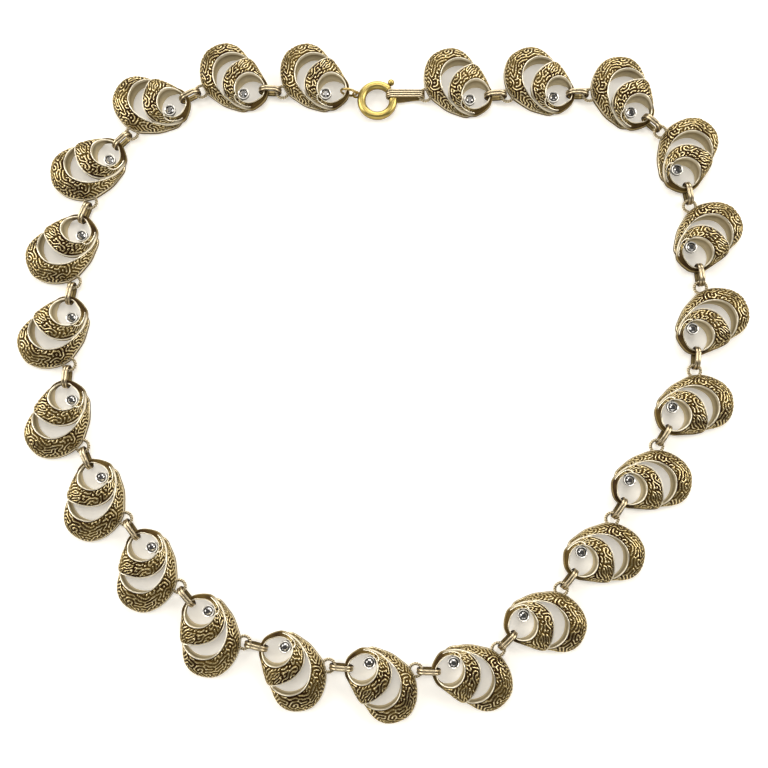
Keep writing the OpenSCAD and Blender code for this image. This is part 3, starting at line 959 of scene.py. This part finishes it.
# %% Node tree that repeats a part over the links
repeat_part, given, result = new_tree("repeat on the links", [("Part", "Object"),
                                                              ("Finish", "Material")])
source = repeat_part.nodes.new("GeometryNodeObjectInfo")
heading_of = add(repeat_part, "GeometryNodeInputNamedAttribute", data_type="FLOAT", Name="heading")
turn = repeat_part.nodes.new("ShaderNodeCombineXYZ")
dots = repeat_part.nodes.new("GeometryNodeMeshToPoints")
copies = repeat_part.nodes.new("GeometryNodeInstanceOnPoints")
wire_up(repeat_part, (given.outputs["Part"], source.inputs["Object"]),
        (heading_of.outputs[0], turn.inputs["Z"]),
        (given.outputs["Geometry"], dots.inputs["Mesh"]),
        (dots.outputs["Points"], copies.inputs["Points"]),
        (source.outputs["Geometry"], copies.inputs["Instance"]),
        (turn.outputs["Vector"], copies.inputs["Rotation"]))
finish_tree(repeat_part, given, result, copies.outputs["Instances"])


def seats(name, spots, degrees):
    """Loose points, each with a heading, for a part to be set on."""
    piece = mesh_piece(name, [(p[0], p[1], 0) for p in spots], [])
    store(piece.data, "heading", np.radians(degrees))
    return piece


def repeated(part, spots, material, name, slot, *nodes):
    """One piece from copies of a part, riding on the necklace."""
    piece = made_plain(spots, repeat_part, {"Part": part, "Finish": material}, name)
    bpy.data.objects.remove(part)
    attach(piece, "necklace")
    if nodes:
        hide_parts(*nodes)
    print(name, triangles(piece), "triangles")


link_seats = seats("link_seats", places, headings)

# %% [markdown]
# ## Cups
# A small cup holds each stone. A real one is turned on a lathe, and so is this one: a profile
# is spun round an upright axis. Its inside beside the stone and its outer wall are painted dark,
# as shade, and only the lip between them is bright, so the shade number goes by the distance
# from the axis.

# %% Cups
CUP_PROFILE = [(0, 2.9), (0.98, 2.9), (1.12, 2.96), (1.17, 3.10), (1.18, 3.55), (1.18, 3.70),
               (1.15, 3.80), (1.08, 3.85), (1.02, 3.83), (0.97, 3.76), (0.82, 3.70),
               (0.80, 3.60), (0.80, 3.35), (0, 3.35)]
CUP_SEGMENTS = 28
# radii: painted shade up to the first, bright from the second to the third, painted shade from the
# fourth
CUP_LIP = [0.82, 0.97, 1.16, 1.18]


def circle(centre, radius, z, count, shift=0.0):
    """Points round a level circle."""
    turns = [2 * math.pi * (s + shift) / count for s in range(count)]
    return [(centre[0] + radius * math.cos(a), centre[1] + radius * math.sin(a), z) for a in turns]


def spun(name, profile, centre, segments):
    """Spins a profile of (radius, height) pairs round an upright axis; a pole has radius 0."""
    points, faces, rings = [], [], []
    for r, z in profile:
        ring = circle(centre, r, z, segments if r else 1)
        rings.append(list(range(len(points), len(points) + len(ring))))
        points += ring
    for lower, upper in zip(rings, rings[1:]):
        for s in range(segments):
            quad = [lower[s % len(lower)], lower[(s + 1) % len(lower)],
                    upper[(s + 1) % len(upper)], upper[s % len(upper)]]
            face = tuple(dict.fromkeys(quad))
            if len(face) > 2:
                faces.append(face)
    piece = mesh_piece(name, points, faces)
    outward(piece)
    return piece


cup = spun("cup", CUP_PROFILE, CUP_AT, CUP_SEGMENTS)
from_axis = [math.dist(v.co[:2], CUP_AT * MM) / MM for v in cup.data.vertices]
store(cup.data, "painted_shade", np.interp(from_axis, CUP_LIP, [1, 0, 0, 1]))
repeated(cup, link_seats, cup_gilt, "stone_cups", "antique_gilt")

# %% [markdown]
# ## Arms
# A flat bar carries each cup. It is wide under the cup, and it narrows as it runs into the
# eye's wall, where it is soldered on. It lies in the shade of that wall, so its groove number,
# which darkens the finish, grows along it.

# %% Arms
ARM_WAY = 38
ARM_STEPS, ARM_SIDES = 7, 8
ARM_FROM, ARM_LONG, ARM_Z = 0.7, 1.05, 3.16
ARM_WIDE, ARM_NARROW, ARM_HALF_THICK = 0.85, 0.34, 0.25

points, faces = [], []
for t in np.linspace(0, 1, ARM_STEPS):
    half = ARM_WIDE * (1 - t) ** 1.2 + ARM_NARROW
    for k in range(ARM_SIDES):
        a = 2 * math.pi * (k + 0.5) / ARM_SIDES
        p = (CUP_AT + way(ARM_WAY) * (ARM_FROM + ARM_LONG * t)
             + way(ARM_WAY + 90) * half * math.cos(a))
        points.append((p[0], p[1], ARM_Z + ARM_HALF_THICK * math.sin(a)))
n = ARM_SIDES
last = (ARM_STEPS - 1) * n
for b in range(0, last, n):
    faces += [(b + k, b + (k + 1) % n, b + n + (k + 1) % n, b + n + k) for k in range(n)]
faces += [tuple(range(n)), tuple(range(last, last + n))]
arm = mesh_piece("arm", points, faces)
outward(arm)
store(arm.data, "painted_shade", np.linspace(0.35, 0.95, ARM_STEPS).repeat(ARM_SIDES))
repeated(arm, link_seats, cup_gilt, "cup_arms", "antique_gilt")

# %% [markdown]
# ## Marcasites
# A marcasite is a small piece of pyrite with a table and a crown of flat facets. Between the
# girdle and the table lies one more ring of points, turned half a step, so that the crown
# breaks into small triangles that face many ways. They must stay flat to flash, so this mesh
# isn't smoothed.

# %% Marcasites
STONE_BACK = 3.38
STONE_SIDES = 8
# radius and height over the back, from the girdle up to the table
STONE_RINGS = [(0.87, 0), (0.87, 0.18), (0.70, 0.35), (0.46, 0.52)]
HALF_STEP_RING = 2
n = STONE_SIDES

points, faces = [], []
for level, (r, z) in enumerate(STONE_RINGS):
    points += circle(CUP_AT, r, STONE_BACK + z, n, 0.5 * (level == HALF_STEP_RING))
for s in range(n):
    t = (s + 1) % n
    faces.append((s, t, n + t, n + s))
    faces += [(n + s, n + t, 2 * n + s), (n + t, 2 * n + t, 2 * n + s)]
    faces += [(2 * n + s, 2 * n + t, 3 * n + t), (2 * n + s, 3 * n + t, 3 * n + s)]
faces += [tuple(reversed(range(n))), tuple(range(3 * n, 4 * n))]
stone = mesh_piece("stone", points, faces, smooth=False)
outward(stone)
repeated(stone, link_seats, marcasite, "cut_marcasites", "marcasite", "marcasites")

# %% [markdown]
# ## One strand of twisted wire
# The ring at a link's side is two wires twisted together. In Geometry Nodes, a circle's points
# are pushed out along a small arrow that spins as it goes round, and a round wire follows the
# pushed curve. The arrow has a part away from the middle, by the cosine, and a part upwards, by
# the sine.

# %% One strand
RING_POINTS, WIRE_SIDES = 64, 6


def strand(tree, given, start):
    """One wire of the twist, its arrow turned by `start` from the beginning."""
    ring = add(tree, "GeometryNodeCurvePrimitiveCircle", Resolution=RING_POINTS)
    along = add(tree, "GeometryNodeSplineParameter")
    turns = add(tree, "ShaderNodeMath", operation="MULTIPLY")
    angle = add(tree, "ShaderNodeMath", operation="MULTIPLY_ADD")
    angle.inputs[1].default_value, angle.inputs[2].default_value = 2 * math.pi, start
    cosine = add(tree, "ShaderNodeMath", operation="COSINE")
    sine = add(tree, "ShaderNodeMath", operation="SINE")
    here = add(tree, "GeometryNodeInputPosition")
    radial = add(tree, "ShaderNodeVectorMath", operation="NORMALIZE")
    out = add(tree, "ShaderNodeVectorMath", operation="SCALE")
    up = add(tree, "ShaderNodeCombineXYZ")
    arrow = add(tree, "ShaderNodeVectorMath", operation="ADD")
    push = add(tree, "ShaderNodeVectorMath", operation="SCALE")
    pushed = add(tree, "GeometryNodeSetPosition")
    wire = add(tree, "GeometryNodeCurvePrimitiveCircle", Resolution=WIRE_SIDES)
    sweep = add(tree, "GeometryNodeCurveToMesh")
    wire_up(tree, (given.outputs["Ring radius"], ring.inputs["Radius"]),
            (given.outputs["Turns"], turns.inputs[0]), (along.outputs["Factor"], turns.inputs[1]),
            (turns.outputs[0], angle.inputs[0]), (angle.outputs[0], cosine.inputs[0]),
            (angle.outputs[0], sine.inputs[0]), (here.outputs[0], radial.inputs[0]),
            (radial.outputs[0], out.inputs[0]), (cosine.outputs[0], out.inputs["Scale"]),
            (sine.outputs[0], up.inputs["Z"]), (out.outputs[0], arrow.inputs[0]),
            (up.outputs[0], arrow.inputs[1]), (arrow.outputs[0], push.inputs[0]),
            (given.outputs["Wire radius"], push.inputs["Scale"]),
            (ring.outputs["Curve"], pushed.inputs["Geometry"]),
            (push.outputs[0], pushed.inputs["Offset"]),
            (given.outputs["Wire radius"], wire.inputs["Radius"]),
            (pushed.outputs["Geometry"], sweep.inputs["Curve"]),
            (wire.outputs["Curve"], sweep.inputs["Profile Curve"]))
    return sweep.outputs["Mesh"]


print("a strand has", RING_POINTS, "steps and", WIRE_SIDES, "sides")

# %% [markdown]
# ## Two strands make the ring
# The second strand is the first with its arrow half a turn on, so the two lie on each other
# all the way. Sizes and the number of turns are inputs of the tree, and the twist can be made
# tighter or looser without touching the nodes.

# %% Tree of the twisted ring
twist, given, result = new_tree("twisted wire ring", [
    ("Ring radius", "Float"), ("Wire radius", "Float"), ("Turns", "Float"), ("Centre", "Vector"),
    ("Finish", "Material")])
gather = twist.nodes.new("GeometryNodeJoinGeometry")
for start in (0.0, math.pi):
    twist.links.new(strand(twist, given, start), gather.inputs["Geometry"])
seat_it = twist.nodes.new("GeometryNodeTransform")
wire_up(twist, (gather.outputs[0], seat_it.inputs["Geometry"]),
        (given.outputs["Centre"], seat_it.inputs["Translation"]))
finish_tree(twist, given, result, seat_it.outputs["Geometry"])

# %% [markdown]
# ## The rings on their links
# The tree is run once, with the sizes of the real ring. Where the two wires meet, shade is
# painted dark, so each point's shade number comes from how near it lies to the middle of the twist.

# %% Twisted rings in place
LOOP_R, LOOP_WIRE, LOOP_TURNS = 1.22, 0.175, 9.0
DARK_TO, BRIGHT_FROM = 0.176, 0.336
loop_centre = np.array([*LOOP_AT, LOOP_Z])

blank = mesh_piece("blank", [(0, 0, 0)], [])
loop = made_plain(blank, twist, {"Ring radius": LOOP_R * MM, "Wire radius": LOOP_WIRE * MM,
                                 "Turns": LOOP_TURNS, "Centre": tuple(loop_centre * MM),
                                 "Finish": wire_gilt}, "loop")
around = np.array([v.co for v in loop.data.vertices]) / MM - loop_centre
from_core = np.hypot(np.hypot(around[:, 0], around[:, 1]) - LOOP_R, around[:, 2])
store(loop.data, "painted_shade", np.interp(from_core, [DARK_TO, BRIGHT_FROM], [1, 0]))
repeated(loop, link_seats, wire_gilt, "twisted_loops", "antique_gilt")

# %% [markdown]
# ## Folded ribbed strip
# Connectors and end tag are rolled strip with rounded ribs and painted shade in the lines between
# them, folded into a flat ring that stands on edge. Two straight runs and two half circles make
# its path, and the section with the ribs is carried along it, so the ribs follow the fold.

# %% Folded ribbed strip
STRIP_THICK = 0.35
RIB_DEPTH = 0.16
FLAT_CUTS, BEND_CUTS = 10, 12


def stadium(flat):
    """A path round two straight runs and two bends: each point's middle and its way out."""
    path = []
    for side in (-1, 1):
        path += [(side * flat * (1 - 2 * k / FLAT_CUTS), (0, side)) for k in range(FLAT_CUTS)]
        for k in range(BEND_CUTS):
            a = side * math.pi / 2 + math.pi * k / BEND_CUTS
            path.append((-side * flat, (math.cos(a), math.sin(a))))
    return path


def folded_strip(name, length, height, width_at, pitch, rows_across, middle_z):
    """A strip folded into a ring that stands on edge, its length on X. `width_at` gives its
    lowest and highest Y for a place on the path."""
    inside, outside = height / 2 - STRIP_THICK, height / 2
    points, faces, painted_shade = [], [], []
    path = stadium((length - height) / 2)
    for x, (ex, ez) in path:
        across = np.linspace(*width_at(x + ex * outside, ez), rows_across)
        rib = np.abs(np.sin(math.pi * across / pitch))
        ribbed = outside - RIB_DEPTH * (1 - rib ** 0.6)
        points += [(x + ex * d, y, ez * d + middle_z) for y, d in zip(across, ribbed)]
        points += [(x + ex * inside, y, ez * inside + middle_z) for y in across[::-1]]
        # painted shade in the lines between the ribs
        dark = 1 - np.clip(2 * rib - 0.4, 0, 1)
        painted_shade += [*dark, *dark[::-1]]
    n, count = 2 * rows_across, len(path)
    for k in range(count):
        a, b = k * n, ((k + 1) % count) * n
        faces += [(a + j, a + (j + 1) % n, b + (j + 1) % n, b + j) for j in range(n)]
    piece = mesh_piece(name, points, faces)
    store(piece.data, "painted_shade", painted_shade)
    outward(piece)
    return piece


print("strip", STRIP_THICK, "mm thick, ribs", RIB_DEPTH, "mm deep")

# %% [markdown]
# ## Connectors
# A connector has two ribs. It holds one link's wire ring and the next link's narrow end. Its
# near end stands just past the middle of the wire ring, and it points along the way that the
# walk took from link to link.

# %% Connectors
CONNECTOR_LONG, CONNECTOR_HIGH, CONNECTOR_RIB = 4.76, 3.46, 0.55
CONNECTOR_ROWS = 15
AIR = 0.01
PAST_LOOP = 0.12

strip = folded_strip("strip", CONNECTOR_LONG, CONNECTOR_HIGH,
                     lambda x, ez: (-CONNECTOR_RIB, CONNECTOR_RIB), CONNECTOR_RIB,
                     CONNECTOR_ROWS, CONNECTOR_HIGH / 2 + AIR)
spots = [place + turned(LOOP_AT, heading) + (PAST_LOOP + CONNECTOR_LONG / 2) * way(onward)
         for place, (heading, onward, far) in zip(places, WALK[:-1])]
connector_seats = seats("connector_seats", spots, [onward for heading, onward, far in WALK[:-1]])
repeated(strip, connector_seats, strip_gilt, "ribbed_connectors", "connector_gilt", "connectors")

# %% [markdown]
# ## Where the clasp lies
# The clasp's place follows from the chain's two ends. The jump ring stands in the first link's
# eye, the spring ring's lug hangs on it, and the tag spans from the spring ring's bolt to the
# last wire ring. Working it out in that order keeps the whole chain closed.

# %% Places at the clasp
RING_R, RING_Z = 3.25, 1.28
LUG_FAR, LUG_WAY, HOOK_WAY = 4.55, 164, 21
JUMP_R, JUMP_WIRE, JUMP_FAR, JUMP_WAY = 1.6, 0.25, 3.2, -10
GAP = 0.02
TAG_PAST_HOOK, TAG_SHORT_OF_LOOP = 1.34, 0.08

jump_z = JUMP_R + JUMP_WIRE + GAP
lug_reach = math.sqrt(JUMP_R ** 2 - (jump_z - RING_Z) ** 2)
lug_at = places[0] + turned(EYE_AT, WALK[0][0]) + (JUMP_FAR + lug_reach) * way(JUMP_WAY)
ring_at = lug_at - LUG_FAR * way(LUG_WAY)
hook = ring_at + RING_R * way(HOOK_WAY)
last_loop = places[-1] + turned(LOOP_AT, WALK[-1][0])
tag_way = math.degrees(math.atan2(*(last_loop - hook)[::-1]))
tag_long = float(np.linalg.norm(last_loop - hook)) + TAG_PAST_HOOK - TAG_SHORT_OF_LOOP
tag_high = 2 * (RING_Z - GAP)
print("clasp ring at", np.round(ring_at, 3), "tag length", round(tag_long, 2))

# %% [markdown]
# ## End tag
# The tag is the same kind of strip with six ribs, longer and tapered. Its upper run is slim,
# and its lower leaf is wide near the clasp, so the outline is narrowed for each run on its own.

# %% End tag
TAG_WIDEST, TAG_RIBS, TAG_ROWS = 2.8, 6, 40


def tag_width(x, ez):
    """The tag's lowest and highest Y, from its half widths at a few places along it."""
    near, far = -tag_long / 2, tag_long / 2
    if ez > -0.2:
        half = np.interp(x, [near, near + 0.9, far], [0.55, 0.75, 0.65])
    else:
        half = np.interp(x, [near, near + 0.9, near + 1.7, tag_long / 4, far],
                         [0.55, 0.75, 1.4, 0.8, 0.65])
    return -half, half


tag = folded_strip("tag", tag_long, tag_high, tag_width, TAG_WIDEST / TAG_RIBS, TAG_ROWS, RING_Z)
tag_mid = hook + way(tag_way) * (tag_long / 2 - TAG_PAST_HOOK)
tag_seat = seats("tag_seat", [tag_mid], [tag_way])
repeated(tag, tag_seat, strip_gilt, "ribbed_tag", "tag_gilt", "end_tag")

# %% [markdown]
# ## The spring ring's tube
# The spring ring is an arc of tube. It is bored from both ends for the bolt, and a slot in its
# outer side lets the thumb ball's post through. A Boolean cut would leave ragged faces, so it
# is drawn as a grid of rings along the arc with the slot's cells left out, and walls join the
# outside to the bore.

# %% Tube of the clasp
TUBE_R, BORE_R = 0.85, 0.60
TUBE_FROM, TUBE_TO = 45.0, 365.0
BORE_ENDS, BORE_AGAIN = 122.0, 355.0
SLOT_FROM, SLOT_TO, SLOT_HALF = 48.0, 98.5, 0.37
SLOT_CELLS, PLAIN_CELLS = 4, 32
ARC_STEP, HAIR = 3.5, 0.01


def around_tube(r):
    """Angles round the tube, the first five of them across the slot."""
    half = math.asin(SLOT_HALF / r)
    return np.concatenate([np.linspace(-half, half, SLOT_CELLS + 1),
                           np.linspace(half, 2 * math.pi - half, PLAIN_CELLS + 1)[1:-1]])


def clasp_tube():
    """The points and faces of the bored and slotted tube."""
    marks = [TUBE_FROM, SLOT_FROM, SLOT_TO, BORE_ENDS, BORE_AGAIN, TUBE_TO]
    arc = [TUBE_FROM]
    for a, b in zip(marks, marks[1:]):
        arc += list(np.linspace(a, b, math.ceil((b - a) / ARC_STEP) + 1)[1:])
    points, faces, first = [], [], {}
    n = SLOT_CELLS + PLAIN_CELLS
    for skin, r in (("out", TUBE_R), ("bore", BORE_R)):
        for s, deg in enumerate(arc):
            first[skin, s] = len(points)
            for a in around_tube(r):
                p = ring_at + (RING_R + r * math.cos(a)) * way(deg)
                points.append((p[0], p[1], RING_Z + r * math.sin(a)))

    def quad(one, two, j, k):
        return (first[one] + j, first[one] + k, first[two] + k, first[two] + j)

    for s, deg in enumerate(arc[:-1]):
        slotted = SLOT_FROM <= deg < SLOT_TO - HAIR
        bored = not BORE_ENDS - HAIR <= deg < BORE_AGAIN - HAIR
        for skin in ("out", "bore") if bored else ("out",):
            faces += [quad((skin, s), (skin, s + 1), j, (j + 1) % n)
                      for j in range(SLOT_CELLS if slotted else 0, n)]
        if slotted:
            faces += [(first["out", s] + j, first["out", s + 1] + j, first["bore", s + 1] + j,
                       first["bore", s] + j) for j in (0, SLOT_CELLS)]
    for s, deg in enumerate(arc):
        if s in (0, len(arc) - 1):
            faces += [quad(("out", s), ("bore", s), j, (j + 1) % n) for j in range(n)]
        if deg in (SLOT_FROM, SLOT_TO):
            faces += [quad(("out", s), ("bore", s), j, j + 1) for j in range(SLOT_CELLS)]
        if deg in (BORE_ENDS, BORE_AGAIN):
            faces.append(tuple(first["bore", s] + j for j in range(n)))
    return points, faces


print("tube", 2 * TUBE_R, "mm thick, bore", 2 * BORE_R, "mm")

# %% [markdown]
# ## Lug, and the clasp made whole
# The lug is a small round wire ring that is soldered to the tube, for the jump ring to hold.
# The tube's mesh is then cleaned of points that no face uses. Its bore and slot have crisp
# edges, so shading is cut at sharp angles and stays round elsewhere.

# %% Clasp ring
LUG_R, LUG_WIRE = 0.6, 0.2
LUG_AROUND, LUG_SIDES = 28, 12
CRISP = math.radians(40)


def lug_ring():
    """A ring of round wire that lies flat."""
    middle = ring_at + LUG_FAR * way(LUG_WAY)
    points, faces = [], []
    for k in range(LUG_AROUND):
        this, after = k * LUG_SIDES, (k + 1) % LUG_AROUND * LUG_SIDES
        for m in range(LUG_SIDES):
            a, m2 = 2 * math.pi * m / LUG_SIDES, (m + 1) % LUG_SIDES
            p = middle + (LUG_R + LUG_WIRE * math.cos(a)) * way(360 * k / LUG_AROUND)
            points.append((p[0], p[1], RING_Z + LUG_WIRE * math.sin(a)))
            faces.append((this + m, after + m, after + m2, this + m2))
    return points, faces


points, faces = joined(clasp_tube(), lug_ring())
ring_piece = mesh_piece("clasp_tube", points, faces)
clean = bmesh.new()
clean.from_mesh(ring_piece.data)
bmesh.ops.delete(clean, geom=[v for v in clean.verts if not v.link_faces], context="VERTS")
print("clasp tube open edges:", sum(len(e.link_faces) != 2 for e in clean.edges))
clean.to_mesh(ring_piece.data)
clean.free()
outward(ring_piece)
ring_piece.data.set_sharp_from_angle(angle=CRISP)
ring_piece.data.materials.append(clasp_gilt)
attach(ring_piece, "necklace")
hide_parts("clasp_ring")

# %% [markdown]
# ## Bolt and jump ring
# The bolt with its ball, and the jump ring, are plain round wire. Their CAD shapes are already
# right, so they stay, and only take a finish. The loose points that the copies were set on have
# done their work and go.

# %% Finish the kept parts
for node, gilt in (("clasp_bolt", clasp_gilt), ("jump_ring", jump_gilt)):
    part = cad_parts[node]
    part.data.materials.clear()
    part.data.materials.append(gilt)
    print(node, "takes", gilt.name)
for helper in (blank, link_seats, connector_seats, tag_seat):
    bpy.data.objects.remove(helper)
